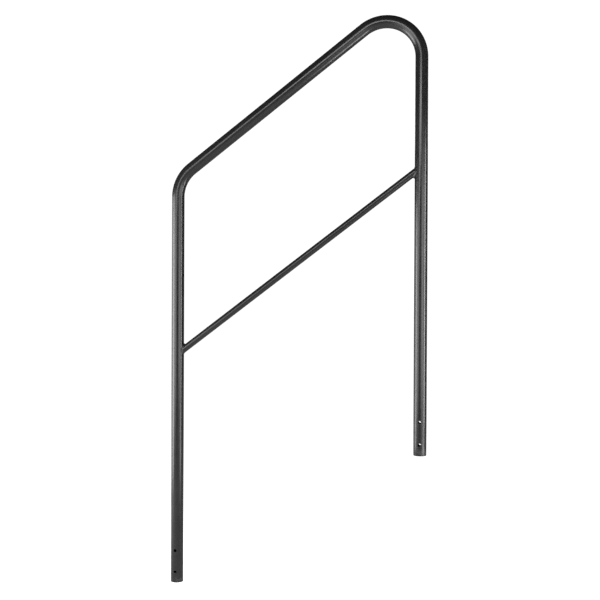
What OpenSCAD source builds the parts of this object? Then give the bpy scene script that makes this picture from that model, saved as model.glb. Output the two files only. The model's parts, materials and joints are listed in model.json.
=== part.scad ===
// Sloped pool handrail with two posts: one bent tube, a middle bar welded between the
// posts, a weld bead at each end of the bar, and a plastic plug in the foot of each post.
// Millimetres, +Z up. The rail lies in the XZ plane. The origin is the centre of the
// lower post's foot, and the upper post stands at +X.

/* [Frame] */
// Distance between the axes of the two posts
post_spacing = 680; // [600:5:800]
// Rise of the top rail from one post's axis to the other's
rail_rise = 510; // [400:5:600]
// Height of the upper post's foot above the lower post's foot
foot_rise = 380; // [200:5:450]
// Height at which the axes of the lower post and the top rail would cross
corner_h = 1130; // [1000:5:1250]
// Radius of both bends, measured at the tube's axis
bend_r = 98; // [80:1:120]

/* [Handrail tube] */
// Outside diameter of the tube
tube_d = 35; // [32:0.5:42]
// Wall thickness of the tube
tube_wall = 1.5; // [1.2:0.1:2.5]

/* [Middle bar] */
// Outside diameter of the bar
bar_d = 19; // [14:0.5:22]
// Wall thickness of the bar
bar_wall = 1.2; // [1:0.1:2]
// Height at which the bar's axis crosses the lower post's axis
bar_h = 640; // [560:5:720]

/* [Weld beads] */
// Width of a bead on the open side of the bar
weld_leg = 2.6; // [2:0.1:4]
// Width of a bead in the narrow corner between bar and post
weld_corner_leg = 6; // [4:0.1:7]
// How far the bead's face stands out beyond a straight line between its toes
weld_crown = 0.4; // [0.2:0.1:0.6]

/* [Bolt holes] */
// Diameter of the holes, which go straight through each post
hole_d = 8.5; // [6.5:0.1:11]
// Height of the lower hole above the post's foot
hole_h = 30; // [28:1:45]
// Distance between the two holes of a post
hole_pitch = 60; // [40:1:90]

/* [End plugs] */
// Thickness of the plug's head, which covers the tube's cut end
plug_head = 3; // [2:0.5:4]
// Radius of the rounding around the foot
plug_round = 1.6; // [0.8:0.1:1.8]
// How deep the plug reaches into the tube
plug_depth = 17; // [12:0.5:18]
// Wall thickness of the plug's hollow core
plug_wall = 2; // [1.5:0.1:2.5]
// Number of ring-shaped gripping fins on the core
fin_count = 4; // [2:1:5]
// Height of a whole fin
fin_h = 2.2; // [1.6:0.1:2.4]
// Height of the part of a fin that grips the tube
fin_land = 0.6; // [0.3:0.1:1]

/* [Hidden] */
$fn = 96;

coat_colour = [0.16, 0.16, 0.17];
weld_colour = [0.12, 0.12, 0.13];
plug_colour = [0.08, 0.08, 0.08];

tube_r = tube_d / 2;
bore_r = tube_r - tube_wall;
bar_r = bar_d / 2;
cut_margin = 5; // how far a cutting shape reaches past what it cuts

// Slope of the top rail and the middle bar, in degrees.
slope = atan(rail_rise / post_spacing);
// Length of a sloped line from one post's axis to the other's.
bar_len = post_spacing / cos(slope);
// The two bends turn the tube from vertical to the slope, and back down to vertical.
lower_turn = 90 - slope;
upper_turn = 90 + slope;
// Distance from each corner, where the axes would cross, to the start of its bend.
lower_setback = bend_r * tan(lower_turn / 2);
upper_setback = bend_r * tan(upper_turn / 2);
// Lengths of the tube's three straight stretches.
lower_run = corner_h - lower_setback - plug_head;
rail_run = bar_len - lower_setback - upper_setback;
upper_run = corner_h + rail_rise - upper_setback - foot_rise - plug_head;

spare_turn = 5; // extra angle at each end of a bend, cut off square

saddle_reach = 2 * tube_d; // how far a joint's shaping reaches from its centre

fin_reach = 3; // how far the fins stand out from the plug's core
core_r = bore_r - fin_reach;
fin_pitch = (plug_depth - fin_land) / fin_count;

// ---- handrail tube ----

// Moves its children from the start of a bend to its end, with the route along +Z.
module after_bend(turn)
    translate([bend_r, 0, 0])
        rotate([0, turn, 0])
            translate([-bend_r, 0, 0])
                children();

// Block above z = 0 that takes off the spare end of a bend.
module end_cut()
    translate([-tube_d, -tube_d, 0])
        cube([2 * tube_d, 2 * tube_d, tube_d]);

// Bend that starts at the origin, heading along +Z, and turns towards +X. It is turned
// with a little to spare, and both ends are then cut square.
module bend(r, turn)
    difference() {
        translate([bend_r, 0, 0])
            rotate([90, 0, 0])
                rotate_extrude(angle = turn + 2 * spare_turn, start = 180 - turn - spare_turn)
                    translate([bend_r, 0])
                        circle(r);
        mirror([0, 0, 1])
            end_cut();
        after_bend(turn)
            end_cut();
    }

// Moves its children to the end of a straight stretch.
module after_run(len)
    translate([0, 0, len])
        children();

// Round bar of radius r along the whole route of the tube, one stretch after another,
// as the tube is bent. Its ends lie at the tube's cut ends, or reach past them.
module route_bar(r, reach = 0)
    translate([0, 0, plug_head - reach]) {
        cylinder(h = lower_run + reach, r = r);
        after_run(lower_run + reach) {
            bend(r, lower_turn);
            after_bend(lower_turn) {
                cylinder(h = rail_run, r = r);
                after_run(rail_run) {
                    bend(r, upper_turn);
                    after_bend(upper_turn)
                        cylinder(h = upper_run + reach, r = r);
                }
            }
        }
    }

// The two bolt holes of a post whose foot is at the origin, cut through both walls.
module post_holes()
    for (z = [hole_h, hole_h + hole_pitch])
        translate([0, tube_r + cut_margin, z])
            rotate([90, 0, 0])
                cylinder(h = tube_d + 2 * cut_margin, d = hole_d);

module handrail_tube()
    color(coat_colour)
        difference() {
            route_bar(tube_r);
            route_bar(bore_r, cut_margin);
            post_holes();
            translate([post_spacing, 0, foot_rise])
                post_holes();
        }

// ---- middle bar ----

// Turns its children's +Z axis onto the bar's axis.
module along_bar()
    rotate([0, 90 - slope, 0])
        children();

// Stretch of plain post around the origin, which the bar's end is shaped to fit.
module post_saddle()
    translate([0, 0, -saddle_reach])
        cylinder(h = 2 * saddle_reach, r = tube_r);

// Bar whose lower end would meet the post's axis at the origin.
module middle_bar()
    color(coat_colour)
        translate([0, 0, bar_h])
            difference() {
                along_bar()
                    cylinder(h = bar_len, r = bar_r);
                along_bar()
                    cylinder(h = bar_len, r = bar_r - bar_wall);
                post_saddle();
                translate([post_spacing, 0, rail_rise])
                    post_saddle();
            }

// ---- weld beads ----

weld_steps = 60; // sections around the bar
weld_arc = 5; // points across the bead's face
weld_bury = 0.4; // depth of the bead's root and toes under the surfaces it joins

// Point at distance along the bar's axis and radius from it, at angle a around it.
// At a = 0 the point is above the bar, in the narrow corner.
function bar_point(along, radius, a) =
    [along * cos(slope) - radius * cos(a) * sin(slope),
     radius * sin(a),
     along * sin(slope) + radius * cos(a) * cos(slope)];

// Distance along the bar's axis at which a line at that radius and angle meets a
// cylinder of radius post_r around the post's axis.
function meet(post_r, radius, a) =
    (sqrt(post_r * post_r - pow(radius * sin(a), 2)) + radius * cos(a) * sin(slope))
    / cos(slope);

// Width of the bead around the bar: widest in the narrow corner.
function leg(a) =
    weld_leg + (weld_corner_leg - weld_leg) * pow((1 + cos(a)) / 2, 2);

// One section of the bead: the buried root, then the face from the toe on the bar to
// the toe on the post, crowned in the middle.
function bead_section(a) =
    let (under_post = tube_r - weld_bury,
         under_bar = bar_r - weld_bury,
         root = bar_point(meet(under_post, under_bar, a), under_bar, a),
         bar_toe = bar_point(meet(tube_r, bar_r, a) + leg(a), under_bar, a),
         wide = bar_r + leg(a) * cos(slope),
         post_toe = bar_point(meet(under_post, wide, a), wide, a),
         middle = (bar_toe + post_toe) / 2,
         out = (middle - root) / norm(middle - root))
    concat([root],
           [for (i = [0 : weld_arc - 1])
               let (t = i / (weld_arc - 1))
               bar_toe + (post_toe - bar_toe) * t + out * weld_crown * 4 * t * (1 - t)]);

// Ring of sections around the bar, each joined to the next.
module bead_ring() {
    size = weld_arc + 1;
    points = [for (i = [0 : weld_steps - 1]) each bead_section(360 * i / weld_steps)];
    faces = [for (i = [0 : weld_steps - 1])
                for (j = [0 : size - 1])
                    let (a = i * size + j,
                         b = i * size + (j + 1) % size,
                         c = ((i + 1) % weld_steps) * size + (j + 1) % size,
                         d = ((i + 1) % weld_steps) * size + j)
                    each [[a, b, c], [a, c, d]]];
    polyhedron(points, faces);
}

// Bead of a joint whose axes cross at the origin, trimmed to the post and the bar.
module weld_bead()
    difference() {
        bead_ring();
        post_saddle();
        along_bar()
            cylinder(h = saddle_reach, r = bar_r);
    }

module weld_bead_lower()
    color(weld_colour)
        translate([0, 0, bar_h])
            weld_bead();

module weld_bead_upper()
    color(weld_colour)
        translate([post_spacing, 0, bar_h + rail_rise])
            rotate([0, 180, 0])
                weld_bead();

// ---- end plugs ----

// Head that covers the tube's cut end, with a rounded rim around the foot.
module plug_head_disc() {
    rotate_extrude() {
        square([tube_r - plug_round, plug_head]);
        translate([tube_r - plug_round, plug_round])
            circle(plug_round);
    }
    translate([0, 0, plug_round])
        cylinder(h = plug_head - plug_round, r = tube_r);
}

// Fin around the core: a short land that grips the bore, then a slope for pushing in.
module plug_fin() {
    cylinder(h = fin_land, r = bore_r);
    translate([0, 0, fin_land])
        cylinder(h = fin_h - fin_land, r1 = bore_r, r2 = core_r);
}

// Plug whose foot is centred on the origin.
module end_plug()
    difference() {
        union() {
            plug_head_disc();
            cylinder(h = plug_head + plug_depth, r = core_r);
            for (i = [1 : fin_count])
                translate([0, 0, plug_head + i * fin_pitch - fin_h])
                    plug_fin();
        }
        translate([0, 0, plug_head])
            cylinder(h = plug_depth + cut_margin, r = core_r - plug_wall);
    }

module end_plug_lower()
    color(plug_colour)
        end_plug();

module end_plug_upper()
    color(plug_colour)
        translate([post_spacing, 0, foot_rise])
            end_plug();

handrail_tube();
middle_bar();
weld_bead_lower();
weld_bead_upper();
end_plug_lower();
end_plug_upper();
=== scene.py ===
"""Looks of the pool handrail: coated tube with drilled posts, welded middle bar and end plugs."""

import json
import math

import bpy
from mathutils import Matrix, Vector, noise


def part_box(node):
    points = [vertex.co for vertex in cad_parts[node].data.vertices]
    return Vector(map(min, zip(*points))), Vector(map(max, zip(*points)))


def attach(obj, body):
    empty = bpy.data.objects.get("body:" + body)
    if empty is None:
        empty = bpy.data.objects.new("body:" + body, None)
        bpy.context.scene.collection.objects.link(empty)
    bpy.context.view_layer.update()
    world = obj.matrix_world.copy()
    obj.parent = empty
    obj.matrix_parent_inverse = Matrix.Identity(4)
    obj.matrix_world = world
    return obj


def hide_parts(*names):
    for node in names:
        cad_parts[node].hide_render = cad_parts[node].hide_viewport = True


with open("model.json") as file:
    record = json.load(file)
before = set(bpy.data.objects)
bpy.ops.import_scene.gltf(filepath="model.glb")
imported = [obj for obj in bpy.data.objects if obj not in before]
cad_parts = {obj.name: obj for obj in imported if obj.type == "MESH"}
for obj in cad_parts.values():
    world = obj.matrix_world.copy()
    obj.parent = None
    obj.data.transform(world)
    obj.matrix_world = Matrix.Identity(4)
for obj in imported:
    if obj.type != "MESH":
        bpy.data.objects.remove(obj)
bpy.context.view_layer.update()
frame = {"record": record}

# ---- sizes, in metres ----

MOUNTS = {m["name"]: m for m in frame["record"]["mounts"]}
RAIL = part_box("handrail_tube")
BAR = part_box("middle_bar")
TUBE_R = (RAIL[1].y - RAIL[0].y) / 2
TUBE_WALL = 0.0015
BORE_R = TUBE_R - TUBE_WALL
BAR_R = (BAR[1].y - BAR[0].y) / 2
BAR_WALL = 0.0012
SPACING = MOUNTS["upper_post_foot"]["pos_m"][0]
SLOPE = math.atan2(3, 4)  # the rail and the bar rise three in four
RISE = SPACING * math.tan(SLOPE)
BEND_R = 0.098
PLUG_HEAD = RAIL[0].z
PLUG_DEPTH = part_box("end_plug_lower")[1].z - PLUG_HEAD
UPPER_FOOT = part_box("end_plug_upper")[0].z
LOWER_TURN = math.pi / 2 - SLOPE
UPPER_TURN = math.pi / 2 + SLOPE
LOWER_SETBACK = BEND_R * math.tan(LOWER_TURN / 2)
UPPER_SETBACK = BEND_R * math.tan(UPPER_TURN / 2)
CORNER_H = RAIL[1].z - BEND_R - TUBE_R + UPPER_SETBACK - RISE
BAR_H = (BAR[0].z + BAR[1].z) / 2 - RISE / 2
BAR_SPAN = SPACING / math.cos(SLOPE)
HOLE_R = MOUNTS["lower_post_bolts"]["dims"]["hole_r_mm"] / 1000
HOLE_PITCH = MOUNTS["lower_post_bolts"]["dims"]["spacing_y_mm"] / 1000

SEGS = 96  # points around the tube
PATCH = 6  # half width of the meshed square around a hole, in points
PATCH_STEP = 2 * math.pi * TUBE_R / SEGS
RING_GAP = 0.02  # greatest distance between rings along a post
LOWER_BEND_STEPS = 28
RAIL_STEPS = 32
UPPER_BEND_STEPS = 60
EDGE = 0.00035  # how much the coat rounds a drilled or sawn edge
EDGE_ANGLES = (30, 60, 90)  # where a rounded edge has its loops, in degrees
WORN_END = 0.012  # length of the worn stretch at a sawn end
NO_WEAR = 1  # a distance from the sawn ends with no wear left
SAME_PLACE = 1e-6
SHARP_ANGLE = math.radians(40)


def hole_heights(name):
    """Heights of the two holes of a bolt mount."""
    middle = MOUNTS[name]["pos_m"][2]
    return [middle - HOLE_PITCH / 2, middle + HOLE_PITCH / 2]


# ---- mesh helpers ----


class Build:
    """Collects points and faces, then becomes one object, smooth except at sharp edges."""

    def __init__(self):
        self.points, self.faces, self.wear = [], [], []

    def add(self, point, wear=0.0):
        """Adds a point, from 0, unworn, to 1, and gives its index."""
        self.points.append(tuple(point))
        self.wear.append(wear)
        return len(self.points) - 1

    def ring(self, points, wear=0.0):
        return [self.add(p, wear) for p in points]

    def bridge(self, a, b, flip=False):
        """Quads between two closed rings of the same length."""
        n = len(a)
        for i in range(n):
            quad = (a[i], a[(i + 1) % n], b[(i + 1) % n], b[i])
            self.faces.append(quad[::-1] if flip else quad)

    def fan(self, ring, centre, flip=False):
        """Triangles from a closed ring to one point."""
        n = len(ring)
        for i in range(n):
            tri = (ring[i], ring[(i + 1) % n], centre)
            self.faces.append(tri[::-1] if flip else tri)

    def object(self, name, material):
        """Makes the object from the points that a face uses."""
        used = sorted({i for face in self.faces for i in face})
        place = {i: k for k, i in enumerate(used)}
        faces = [tuple(place[i] for i in face) for face in self.faces]
        mesh = bpy.data.meshes.new(name)
        mesh.from_pydata([self.points[i] for i in used], [], faces)
        wear = mesh.attributes.new("wear", "FLOAT", "POINT")
        wear.data.foreach_set("value", [self.wear[i] for i in used])
        mesh.shade_smooth()
        mesh.set_sharp_from_angle(angle=SHARP_ANGLE)
        mesh.materials.append(material)
        made = bpy.data.objects.new(name, mesh)
        bpy.context.scene.collection.objects.link(made)
        return made


def smoothstep(t):
    """Smooth rise from 0 to 1 as t goes from 0 to 1."""
    t = min(1.0, max(0.0, t))
    return t * t * (3 - 2 * t)


# ---- handrail tube ----


def post_stations(start, end, holes):
    """Heights of a post's rings from its sawn end up, closer at that end and at each hole."""
    marks = [start, end]
    fixed = []
    for h in holes:
        rows = [h + k * PATCH_STEP for k in range(-PATCH, PATCH + 1)]
        fixed.append((rows[0], rows[-1]))
        marks += rows
    rounding = [start + EDGE * (1 - math.cos(math.radians(a))) for a in EDGE_ANGLES]
    marks = sorted(marks + rounding)
    out = [marks[0]]
    for a, b in zip(marks, marks[1:]):
        inside = any(lo - SAME_PLACE <= a and b <= hi + SAME_PLACE for lo, hi in fixed)
        parts = 1 if inside else max(1, math.ceil((b - a) / RING_GAP))
        out += [a + (b - a) * k / parts for k in range(1, parts + 1)]
    return out


def bend_stations(centre, first, turn, steps):
    """Stations around a bend, from the angle that its start makes with the lower post."""
    out = []
    for k in range(1, steps + 1):
        a = first + turn * k / steps
        side = Vector((-math.cos(a), 0, math.sin(a)))
        out.append((centre + side * BEND_R, side, NO_WEAR))
    return out


def tube_route():
    """The tube's axis as (point, outward side, distance from the nearer sawn end)."""
    out = Vector((-1, 0, 0))
    route = []
    low_top = CORNER_H - LOWER_SETBACK
    for z in post_stations(PLUG_HEAD, low_top, hole_heights("lower_post_bolts")):
        route.append((Vector((0, 0, z)), out, z - PLUG_HEAD))
    centre = Vector((BEND_R, 0, low_top))
    route += bend_stations(centre, 0, LOWER_TURN, LOWER_BEND_STEPS)
    along = Vector((math.cos(SLOPE), 0, math.sin(SLOPE)))
    side = Vector((-math.sin(SLOPE), 0, math.cos(SLOPE)))
    start = centre + side * BEND_R
    run = BAR_SPAN - LOWER_SETBACK - UPPER_SETBACK
    for k in range(1, RAIL_STEPS + 1):
        route.append((start + along * (run * k / RAIL_STEPS), side, NO_WEAR))
    centre = start + along * run - side * BEND_R
    route += bend_stations(centre, LOWER_TURN, UPPER_TURN, UPPER_BEND_STEPS)
    out = Vector((1, 0, 0))
    foot = UPPER_FOOT + PLUG_HEAD
    drops = post_stations(foot, centre.z, hole_heights("upper_post_bolts"))[::-1]
    for z in drops[1:]:
        route.append((Vector((SPACING, 0, z)), out, z - foot))
    return route


def ring_points(centre, side, r):
    """Circle around the tube's axis, starting on its outward side."""
    across = Vector((0, 1, 0))
    turns = [2 * math.pi * i / SEGS for i in range(SEGS)]
    return [centre + side * (r * math.cos(a)) + across * (r * math.sin(a)) for a in turns]


def square_border(rows, first, size):
    """Border of a square of grid points, in order: rows is the grid, first its low corner."""
    j0, i0 = first
    cells = [(j0, i0 + k) for k in range(size)]
    cells += [(j0 + k, i0 + size) for k in range(size)]
    cells += [(j0 + size, i0 + size - k) for k in range(size)]
    cells += [(j0 + size - k, i0) for k in range(size)]
    return [rows[j][i % SEGS] for j, i in cells]


def on_wall(x, z, r, front, post_x, post_z):
    """Point on a post's wall of radius r, given its place across and above a hole's centre."""
    y = math.sqrt(max(r * r - x * x, 0.0))
    return (post_x + x, -y if front else y, post_z + z)


HOLE_LOOPS = 5  # loops between the square and a hole's rim
LOOP_CROWDING = 1.3  # above 1, the loops lie closer together near the rim
RIM_WEAR = 0.8


def hole_rim(b, border, r, front, post_x, hole_z):
    """Loops from the square border in to the rim of a hole, on a wall of radius r."""
    loops = [border]
    flat = [(b.points[i][0] - post_x, b.points[i][2] - hole_z) for i in border]
    turn = [math.atan2(z, x) for x, z in flat]
    rim = HOLE_R + EDGE
    for k in range(1, HOLE_LOOPS + 1):
        share = k / HOLE_LOOPS
        t = 1 - (1 - share) ** LOOP_CROWDING
        wear = smoothstep(share) * RIM_WEAR
        loop = []
        for (x, z), a in zip(flat, turn):
            px = x + (rim * math.cos(a) - x) * t
            pz = z + (rim * math.sin(a) - z) * t
            loop.append(b.add(on_wall(px, pz, r, front, post_x, hole_z), wear))
        loops.append(loop)
    return loops, turn


def drill(b, outer_border, inner_border, front, post_x, hole_z):
    """Loops of one hole: both wall faces to their rims, and the rounded cut between."""
    outer, turn = hole_rim(b, outer_border, TUBE_R, front, post_x, hole_z)
    inner, _ = hole_rim(b, inner_border, BORE_R, front, post_x, hole_z)
    chain = list(outer)
    sign = -1 if front else 1

    def loop(radius, wall_r, depth):
        out = []
        for a in turn:
            x, z = radius * math.cos(a), radius * math.sin(a)
            y = math.sqrt(wall_r * wall_r - x * x) + depth
            out.append(b.add((post_x + x, sign * y, hole_z + z), 1.0))
        return out

    rounding = []
    for degrees in EDGE_ANGLES:
        t = math.radians(degrees)
        rounding.append((HOLE_R + EDGE * (1 - math.sin(t)), EDGE * (1 - math.cos(t))))
    chain += [loop(radius, TUBE_R, -depth) for radius, depth in rounding]
    chain += [loop(radius, BORE_R, depth) for radius, depth in rounding[::-1]]
    return chain + inner[::-1]


def edge_cut(from_end):
    """How much thinner each side of the wall is, close to a sawn end."""
    left = max(0.0, EDGE - from_end)
    return EDGE - math.sqrt(EDGE * EDGE - left * left)


def first_patch_row(route, post_x, hole_z):
    """Index of the first ring of the square around a hole."""
    half = PATCH * PATCH_STEP
    for j, (point, _, _) in enumerate(route):
        on_edge = abs(abs(point.z - hole_z) - half) < SAME_PLACE
        if on_edge and abs(point.x - post_x) < SAME_PLACE:
            return j
    raise ValueError("no ring at the edge of a hole's square")


def tube_bores(route):
    """Each hole in one wall, as (first ring, first point, front wall, post's x, height)."""
    bores = []
    for name, post_x in (("lower_post_bolts", 0.0), ("upper_post_bolts", SPACING)):
        for hole_z in hole_heights(name):
            j0 = first_patch_row(route, post_x, hole_z)
            for middle, front in ((SEGS // 4, False), (3 * SEGS // 4, True)):
                bores.append((j0, middle - PATCH, front, post_x, hole_z))
    return bores


def tube_mesh():
    """Both walls of the tube along its route, its holes, and its rounded sawn ends."""
    b = Build()
    route = tube_route()
    outer, inner = [], []
    for centre, side, from_end in route:
        wear = 1 - smoothstep(from_end / WORN_END)
        cut = edge_cut(from_end)
        outer.append(b.ring(ring_points(centre, side, TUBE_R - cut), wear))
        inner.append(b.ring(ring_points(centre, side, BORE_R + cut), wear))
    bores = tube_bores(route)
    size = 2 * PATCH
    skip = {
        (j0 + j, (i0 + i) % SEGS)
        for j0, i0, _, _, _ in bores
        for j in range(size)
        for i in range(size)
    }
    for j in range(len(route) - 1):
        for i in range(SEGS):
            if (j, i) in skip:
                continue
            k = (i + 1) % SEGS
            b.faces.append((outer[j + 1][i], outer[j + 1][k], outer[j][k], outer[j][i]))
            b.faces.append((inner[j][i], inner[j][k], inner[j + 1][k], inner[j + 1][i]))
    for j0, i0, front, post_x, hole_z in bores:
        borders = [square_border(wall, (j0, i0), size) for wall in (outer, inner)]
        chain = drill(b, *borders, front, post_x, hole_z)
        for a, c in zip(chain, chain[1:]):
            b.bridge(a, c, flip=True)
    b.bridge(inner[0], outer[0], flip=True)
    b.bridge(inner[-1], outer[-1])
    return b


# ---- middle bar ----


def bar_point(along, radius, a):
    """Point at a distance along the bar's axis and a radius from it; a = 0 is above the bar."""
    s, c = math.sin(SLOPE), math.cos(SLOPE)
    return Vector(
        (
            along * c - radius * math.cos(a) * s,
            radius * math.sin(a),
            along * s + radius * math.cos(a) * c,
        )
    )


def meet(post_r, radius, a):
    """Distance along the bar's axis at which a line on it meets a post of that radius."""
    reach = math.sqrt(post_r**2 - (radius * math.sin(a)) ** 2)
    return (reach + radius * math.cos(a) * math.sin(SLOPE)) / math.cos(SLOPE)


BAR_SEGS = 72  # points around the bar
BAR_RINGS = 40


def bar_mesh():
    """Hollow bar whose ends are shaped to sit on the posts."""
    b = Build()
    walls = []
    for radius in (BAR_R, BAR_R - BAR_WALL):
        wall = []
        for k in range(BAR_RINGS + 1):
            t = k / BAR_RINGS
            points = []
            for i in range(BAR_SEGS):
                a = 2 * math.pi * i / BAR_SEGS
                start = meet(TUBE_R, radius, a)
                end = BAR_SPAN - meet(TUBE_R, radius, a + math.pi)
                along = start + (end - start) * t
                points.append(bar_point(along, radius, a) + Vector((0, 0, BAR_H)))
            wall.append(b.ring(points))
        walls.append(wall)
    for k in range(BAR_RINGS):
        b.bridge(walls[0][k], walls[0][k + 1], flip=True)
        b.bridge(walls[1][k], walls[1][k + 1])
    b.bridge(walls[0][0], walls[1][0])
    b.bridge(walls[0][-1], walls[1][-1], flip=True)
    return b


# ---- weld beads ----

BEAD_LEG = 0.0026  # width of a bead on the open side of the bar
BEAD_CORNER_LEG = 0.006  # width in the narrow corner between bar and post
BEAD_CROWN = 0.0003  # how far the face stands out beyond a straight line
BEAD_BURY = 0.0004  # depth of the root and toes under the surfaces they join
BEAD_WOBBLE = 0.00014  # unevenness of the width
WOBBLE_RADIUS = 2.2  # of the circle on which the noise is read: larger is more uneven
WOBBLE_SEED = 4.7
BEAD_STEPS = 360  # sections around the bar
BEAD_POINTS = 15  # points across the face
RIPPLE = 0.0017  # distance between ripples
RIPPLE_H = 0.00011  # height of a ripple
RIPPLE_BOW = 0.55  # how far a ripple's middle runs ahead of its ends, in ripples
RIPPLE_SHAPE = 0.7  # below 1, the ripples have broad tops and narrow valleys


def bead_leg(a):
    """Width of the bead at an angle around the bar."""
    spot = Vector((WOBBLE_RADIUS * math.cos(a), WOBBLE_RADIUS * math.sin(a), WOBBLE_SEED))
    wobble = BEAD_WOBBLE * noise.noise(spot)
    return BEAD_LEG + (BEAD_CORNER_LEG - BEAD_LEG) * ((1 + math.cos(a)) / 2) ** 2 + wobble


def bead_section(a, length):
    """Root, then the face from the toe on the bar to the toe on the post, with its ripples."""
    under_post, under_bar = TUBE_R - BEAD_BURY, BAR_R - BEAD_BURY
    leg = bead_leg(a)
    root = bar_point(meet(under_post, under_bar, a), under_bar, a)
    bar_toe = bar_point(meet(TUBE_R, BAR_R, a) + leg, under_bar, a)
    wide = BAR_R + leg * math.cos(SLOPE)
    post_toe = bar_point(meet(under_post, wide, a), wide, a)
    out = ((bar_toe + post_toe) / 2 - root).normalized()
    section = [root]
    for i in range(BEAD_POINTS):
        t = i / (BEAD_POINTS - 1)
        arch = 4 * t * (1 - t)
        phase = length / RIPPLE + RIPPLE_BOW * arch
        wave = abs(math.sin(math.pi * phase)) ** RIPPLE_SHAPE - 0.5
        height = BEAD_CROWN * arch + RIPPLE_H * wave * arch
        section.append(bar_toe + (post_toe - bar_toe) * t + out * height)
    return section


def bead_mesh(place):
    """Bead around the bar's lower end, moved by place. A whole number of ripples goes round."""
    b = Build()
    angles = [2 * math.pi * k / BEAD_STEPS for k in range(BEAD_STEPS + 1)]
    seam = [bar_point(meet(TUBE_R, BAR_R, a), BAR_R, a) for a in angles]
    lengths = [0.0]
    for here, there in zip(seam, seam[1:]):
        lengths.append(lengths[-1] + (there - here).length)
    stretch = round(lengths[-1] / RIPPLE) * RIPPLE / lengths[-1]
    rows = []
    for a, length in zip(angles[:-1], lengths):
        rows.append(b.ring([place @ p for p in bead_section(a, length * stretch)]))
    for k in range(BEAD_STEPS):
        b.bridge(rows[k], rows[(k + 1) % BEAD_STEPS], flip=True)
    return b


# ---- end plugs ----


PLUG_SEGS = 96  # points around a plug
PLUG_ROUND = 0.0016  # radius of the rounding around the foot
ROUND_STEPS = 8
FLAT_WIDTH = 0.004  # width of the foot's outer ring that runs flat before the rounding
GATE_R = 0.0019  # radius of the shallow moulding mark in the middle of the foot
GATE_DEPTH = 0.00025
GATE_SLOPE = 0.0003
HEAD_LIP = 0.0006  # how far the head's top edge is drawn in below the tube
LIP_DROP = 0.00025  # height of the lip's rounding
LIP_EDGE = 0.0001
PLUG_CORE_R = BORE_R - 0.003
PLUG_WALL = 0.002
FIN_COUNT = 4
FIN_H = 0.0022
FIN_LAND = 0.0006  # height of the part of a fin that grips the tube
FIN_EDGE = 0.0002
RUBBED_FROM, RUBBED_OVER = 0.0006, 0.002  # height where rubbing starts to fade, and how long


def plug_head_profile():
    """Foot with its moulding mark, rounding, side, and the lip drawn in below the tube."""
    rows = [(0.0, GATE_DEPTH), (GATE_R - GATE_SLOPE, GATE_DEPTH), (GATE_R, 0.0)]
    rows.append((TUBE_R - PLUG_ROUND - FLAT_WIDTH, 0.0))
    for k in range(ROUND_STEPS + 1):
        a = math.radians(-90 + 90 * k / ROUND_STEPS)
        out, up = PLUG_ROUND * math.cos(a), PLUG_ROUND * math.sin(a)
        rows.append((TUBE_R - PLUG_ROUND + out, PLUG_ROUND + up))
    top = PLUG_HEAD - LIP_DROP
    rows += [(TUBE_R, top - HEAD_LIP / 2), (TUBE_R - LIP_EDGE, top)]
    rows += [(TUBE_R - HEAD_LIP / 2, PLUG_HEAD - LIP_EDGE), (TUBE_R - HEAD_LIP, PLUG_HEAD)]
    return rows


def plug_profile():
    """Section of a plug from the foot's middle to the bore's, as (radius, height)."""
    rows = plug_head_profile()
    core = PLUG_CORE_R
    pitch = (PLUG_DEPTH - FIN_LAND) / FIN_COUNT
    rows.append((core, PLUG_HEAD))
    for i in range(1, FIN_COUNT + 1):
        base = PLUG_HEAD + i * pitch - FIN_H
        rows += [(core, base), (BORE_R - FIN_EDGE, base), (BORE_R, base + FIN_EDGE)]
        rows += [(BORE_R, base + FIN_LAND), (core, base + FIN_H)]
    tip = PLUG_HEAD + PLUG_DEPTH
    bore = core - PLUG_WALL
    return rows + [(core, tip), (bore, tip), (bore, PLUG_HEAD), (0.0, PLUG_HEAD)]


def plug_mesh(place):
    """The section turned around the axis of a foot, and closed in the middle."""
    b = Build()
    rows = plug_profile()
    turns = [2 * math.pi * i / PLUG_SEGS for i in range(PLUG_SEGS)]
    rings = []
    for r, z in rows[1:-1]:
        points = [place @ Vector((r * math.cos(a), r * math.sin(a), z)) for a in turns]
        rings.append(b.ring(points, 1 - smoothstep((z - RUBBED_FROM) / RUBBED_OVER)))
    for a, c in zip(rings, rings[1:]):
        b.bridge(a, c)
    first = b.add(place @ Vector((0, 0, rows[0][1])), 1.0)
    last = b.add(place @ Vector((0, 0, rows[-1][1])))
    b.fan(rings[0], first, flip=True)
    b.fan(rings[-1], last)
    return b


# ---- materials ----


def new_material(name):
    """Node material with a Principled shader: the material, its tree and the shader."""
    m = bpy.data.materials.new(name)
    m.use_nodes = True
    nodes = m.node_tree.nodes
    nodes.clear()
    out = nodes.new("ShaderNodeOutputMaterial")
    shader = nodes.new("ShaderNodeBsdfPrincipled")
    m.node_tree.links.new(shader.outputs["BSDF"], out.inputs["Surface"])
    return m, m.node_tree, shader


def noise_node(tree, coords, scale, detail=2.0, roughness=0.5):
    """Noise from 0 to 1, with about scale features to a metre."""
    n = tree.nodes.new("ShaderNodeTexNoise")
    n.inputs["Scale"].default_value = scale
    n.inputs["Detail"].default_value = detail
    n.inputs["Roughness"].default_value = roughness
    tree.links.new(coords, n.inputs["Vector"])
    return n.outputs["Fac"]


def ramp(tree, value, lo, hi, to_lo, to_hi):
    """Maps lo..hi of a socket to to_lo..to_hi, held at both ends."""
    n = tree.nodes.new("ShaderNodeMapRange")
    n.inputs["From Min"].default_value = lo
    n.inputs["From Max"].default_value = hi
    n.inputs["To Min"].default_value = to_lo
    n.inputs["To Max"].default_value = to_hi
    tree.links.new(value, n.inputs["Value"])
    return n.outputs["Result"]


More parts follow.
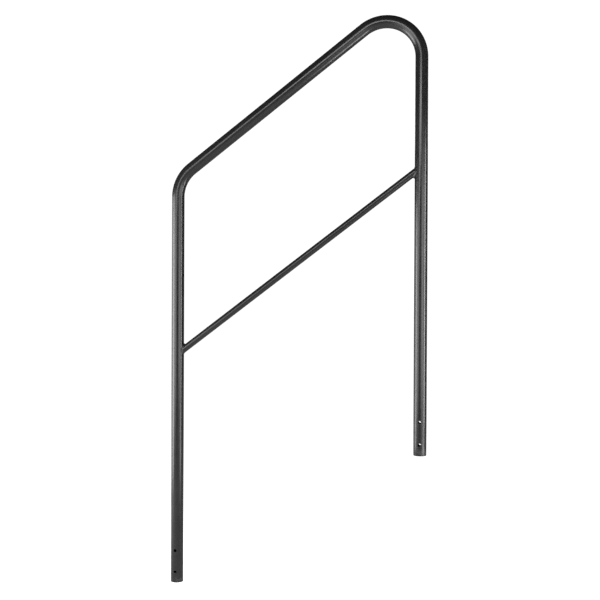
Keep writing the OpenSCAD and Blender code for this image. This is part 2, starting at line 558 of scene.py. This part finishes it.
def math_node(tree, kind, a, b):
    """Result of a math node on a and b: each a number or a socket."""
    n = tree.nodes.new("ShaderNodeMath")
    n.operation = kind
    for socket, value in zip(n.inputs, (a, b)):
        if isinstance(value, (int, float)):
            socket.default_value = value
        else:
            tree.links.new(value, socket)
    return n.outputs[0]


def mix_colour(tree, share, a, b):
    """Colour a where share is 0 and b where it is 1: each a colour or a socket."""
    n = tree.nodes.new("ShaderNodeMix")
    n.data_type = "RGBA"
    tree.links.new(share, n.inputs[0])
    for socket, value in ((n.inputs[6], a), (n.inputs[7], b)):
        if isinstance(value, tuple):
            socket.default_value = (*value, 1)
        else:
            tree.links.new(value, socket)
    return n.outputs[2]


def bump_chain(tree, shader, layers):
    """Bump layers as (height socket, distance in metres), one on top of the other."""
    normal = None
    for height, distance in layers:
        n = tree.nodes.new("ShaderNodeBump")
        n.inputs["Distance"].default_value = distance
        tree.links.new(height, n.inputs["Height"])
        if normal is not None:
            tree.links.new(normal, n.inputs["Normal"])
        normal = n.outputs["Normal"]
    tree.links.new(normal, shader.inputs["Normal"])


IOR = 1.5  # of the coat's resin and of the plastic
COAT_COLOUR, COAT_GLOSS, COAT_PEEL = (0.012, 0.012, 0.0128), 0.20, 0.000006
WELD_COLOUR, WELD_GLOSS, WELD_PEEL = (0.010, 0.010, 0.0105), 0.26, 0.000012
WORN_COAT = (0.075, 0.074, 0.07)
PLASTIC_DARK, PLASTIC_LIGHT = (0.016, 0.016, 0.016), (0.026, 0.026, 0.025)
RUBBED_PLASTIC = (0.07, 0.068, 0.06)


def wear_at_edges(tree, patches):
    """The mesh's wear, broken up by a patchy socket from 0 to 1."""
    wear = tree.nodes.new("ShaderNodeAttribute")
    wear.attribute_name = "wear"
    return math_node(tree, "MULTIPLY", wear.outputs["Fac"], patches)


def coat_material(name, base, rough, peel):
    """Satin powder coat: orange peel, uneven gloss, faint dust, worn lighter at edges."""
    m, tree, shader = new_material(name)
    coords = tree.nodes.new("ShaderNodeTexCoord").outputs["Object"]
    broad = noise_node(tree, coords, 9, 3)
    cloud = noise_node(tree, coords, 60, 4, 0.6)
    peel_h = noise_node(tree, coords, 620, 2, 0.4)
    grain = noise_node(tree, coords, 2600, 2, 0.6)
    edge = wear_at_edges(tree, ramp(tree, cloud, 0.42, 0.62, 0, 1))
    dusty = tuple(c * 1.7 + 0.004 for c in base)
    tone = mix_colour(tree, ramp(tree, broad, 0.35, 0.65, 0, 0.35), base, dusty)
    tone = mix_colour(tree, ramp(tree, cloud, 0.45, 0.75, 0, 0.25), tone, dusty)
    tone = mix_colour(tree, math_node(tree, "MULTIPLY", edge, 0.5), tone, WORN_COAT)
    tree.links.new(tone, shader.inputs["Base Color"])
    gloss = ramp(tree, broad, 0.3, 0.7, rough - 0.03, rough + 0.04)
    gloss = math_node(tree, "ADD", gloss, ramp(tree, cloud, 0.3, 0.7, -0.02, 0.02))
    gloss = math_node(tree, "ADD", gloss, math_node(tree, "MULTIPLY", edge, 0.12))
    tree.links.new(gloss, shader.inputs["Roughness"])
    shader.inputs["IOR"].default_value = IOR
    bump_chain(tree, shader, [(peel_h, peel), (grain, peel * 0.12)])
    return m


def plastic_material(name):
    """Moulded black plastic with a fine eroded grain and scuffs on the foot."""
    m, tree, shader = new_material(name)
    coords = tree.nodes.new("ShaderNodeTexCoord").outputs["Object"]
    cloud = noise_node(tree, coords, 140, 4, 0.6)
    grain = noise_node(tree, coords, 3000, 2, 0.6)
    scuff = noise_node(tree, coords, 420, 5, 0.7)
    rubbed = wear_at_edges(tree, ramp(tree, scuff, 0.5, 0.62, 0, 1))
    tone = mix_colour(tree, ramp(tree, cloud, 0.3, 0.7, 0, 1), PLASTIC_DARK, PLASTIC_LIGHT)
    tone = mix_colour(tree, rubbed, tone, RUBBED_PLASTIC)
    tree.links.new(tone, shader.inputs["Base Color"])
    gloss = ramp(tree, cloud, 0.3, 0.7, 0.48, 0.6)
    gloss = math_node(tree, "ADD", gloss, math_node(tree, "MULTIPLY", rubbed, 0.2))
    tree.links.new(gloss, shader.inputs["Roughness"])
    shader.inputs["IOR"].default_value = IOR
    bump_chain(tree, shader, [(grain, 0.00004), (scuff, 0.00005)])
    return m


# ---- the pieces ----


def show(build, name, material, node):
    """Makes the piece that stands for a CAD node."""
    piece = build.object(name, material)
    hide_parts(node)
    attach(piece, "root")
    return piece


def make_pieces():
    """The six pieces, each in the place of its CAD node."""
    coat = coat_material("satin_black_coat", COAT_COLOUR, COAT_GLOSS, COAT_PEEL)
    weld_coat = coat_material("satin_black_coat_on_weld", WELD_COLOUR, WELD_GLOSS, WELD_PEEL)
    plastic = plastic_material("black_moulded_plastic")
    lower = Matrix.Translation((0, 0, BAR_H))
    upper = Matrix.Translation((SPACING, 0, BAR_H + RISE)) @ Matrix.Rotation(math.pi, 4, "Y")
    show(tube_mesh(), "tube_coated", coat, "handrail_tube")
    show(bar_mesh(), "bar_coated", coat, "middle_bar")
    show(bead_mesh(lower), "weld_rippled_lower", weld_coat, "weld_bead_lower")
    show(bead_mesh(upper), "weld_rippled_upper", weld_coat, "weld_bead_upper")
    foot = Matrix.Identity(4)
    show(plug_mesh(foot), "plug_moulded_lower", plastic, "end_plug_lower")
    foot = Matrix.Translation((SPACING, 0, UPPER_FOOT))
    show(plug_mesh(foot), "plug_moulded_upper", plastic, "end_plug_upper")


# ---- camera, lights, floor ----

CAMERA_AT = Vector((0.9219, -2.6778, 0.8152))
CAMERA_AIM = Vector((0.3508, 0, 0.7937))
CAMERA_LENS = 60
CAMERA_ROLL = math.radians(0.25)


def make_camera():
    """Camera at the photo's viewing angle."""
    data = bpy.data.cameras.new("camera")
    data.lens = CAMERA_LENS
    camera = bpy.data.objects.new("camera", data)
    camera.location = CAMERA_AT
    camera.rotation_mode = "QUATERNION"
    look = (CAMERA_AIM - CAMERA_AT).to_track_quat("-Z", "Y")
    camera.rotation_quaternion = look @ Matrix.Rotation(CAMERA_ROLL, 3, "Z").to_quaternion()
    bpy.context.scene.collection.objects.link(camera)
    bpy.context.scene.camera = camera


def panel(name, at, aim, width, height, power):
    """Soft box of a width and height, facing aim, with its power in watts per square metre."""
    data = bpy.data.lights.new(name, "AREA")
    data.shape = "RECTANGLE"
    data.size, data.size_y = width, height
    data.energy = power * width * height
    lamp = bpy.data.objects.new(name, data)
    lamp.location = at
    lamp.rotation_mode = "QUATERNION"
    lamp.rotation_quaternion = (Vector(aim) - Vector(at)).to_track_quat("-Z", "Y")
    lamp.visible_camera = False
    bpy.context.scene.collection.objects.link(lamp)


def make_lights():
    """Soft boxes left, right and above, with a dark gap at the camera, and a back fill."""
    middle = (SPACING / 2, 0, 0.80)
    panel("left_wall", (-1.35, -0.95, 0.70), middle, 1.9, 1.05, 8.0)
    panel("left_box", (-1.10, -0.50, 0.64), (0.1, 0, 0.64), 0.55, 1.15, 23.0)
    panel("left_back", (-1.05, 0.30, 0.64), (0.3, 0, 0.64), 0.80, 1.15, 6.5)
    panel("front_left", (-0.85, -2.00, 0.80), (0.2, 0, 0.80), 1.5, 1.1, 7.0)
    panel("right_wall", (2.20, -0.90, 0.78), middle, 2.0, 1.15, 7.0)
    panel("right_strip", (1.24, -0.10, 0.84), (0, -0.05, 0.84), 0.14, 0.92, 28.0)
    panel("front_right", (1.75, -2.00, 0.88), (0.5, 0, 0.85), 1.4, 1.2, 7.0)
    panel("low_right", (1.55, -0.35, 0.16), (0.5, 0, 0.9), 0.7, 0.28, 16.0)
    panel("above_camera", (0.35, -2.10, 1.70), (0.35, 0, 1.45), 1.0, 0.46, 21.0)
    panel("above_left", (-0.40, -2.10, 1.50), (0.1, 0, 1.25), 0.5, 0.50, 14.0)
    panel("back_fill", (0.35, 2.20, 2.10), (0.35, 0, 0.80), 2.6, 1.2, 6.0)


def glow_for_camera(tree, seen, felt):
    """Strength that the camera sees, and the weaker one that lights the object."""
    path = tree.nodes.new("ShaderNodeLightPath").outputs["Is Camera Ray"]
    n = tree.nodes.new("ShaderNodeMapRange")
    n.inputs["To Min"].default_value = felt
    n.inputs["To Max"].default_value = seen
    tree.links.new(path, n.inputs["Value"])
    return n.outputs["Result"]


WHITE = (1, 1, 1, 1)
FLOOR_COLOUR = (0.6, 0.6, 0.6, 1)
FLOOR_ROUGHNESS = 0.9
FLOOR_HALF = 40
WORLD_SEEN, WORLD_FELT = 1.06, 0.04
FLOOR_SEEN, FLOOR_FELT = 1.02, 0.14


def make_world():
    """Pale backdrop."""
    world = bpy.data.worlds.new("studio")
    bpy.context.scene.world = world
    world.use_nodes = True
    tree = world.node_tree
    back = tree.nodes["Background"]
    back.inputs["Color"].default_value = WHITE
    tree.links.new(glow_for_camera(tree, WORLD_SEEN, WORLD_FELT), back.inputs["Strength"])


def make_floor():
    """Plain pale floor under the lower post."""
    half = FLOOR_HALF
    corners = [(-half, -half, 0), (half, -half, 0), (half, half, 0), (-half, half, 0)]
    mesh = bpy.data.meshes.new("floor")
    mesh.from_pydata(corners, [], [(0, 1, 2, 3)])
    floor = bpy.data.objects.new("floor", mesh)
    bpy.context.scene.collection.objects.link(floor)
    m, tree, shader = new_material("pale_floor")
    shader.inputs["Base Color"].default_value = FLOOR_COLOUR
    shader.inputs["Roughness"].default_value = FLOOR_ROUGHNESS
    shader.inputs["Specular IOR Level"].default_value = 0.0
    shader.inputs["Emission Color"].default_value = WHITE
    glow = glow_for_camera(tree, FLOOR_SEEN, FLOOR_FELT)
    tree.links.new(glow, shader.inputs["Emission Strength"])
    mesh.materials.append(m)


def plain_view():
    """Colours shown as they are, with no film look."""
    view = bpy.context.scene.view_settings
    view.view_transform = "Standard"
    view.look = "None"


make_camera()
make_pieces()
make_lights()
make_world()
make_floor()
plain_view()
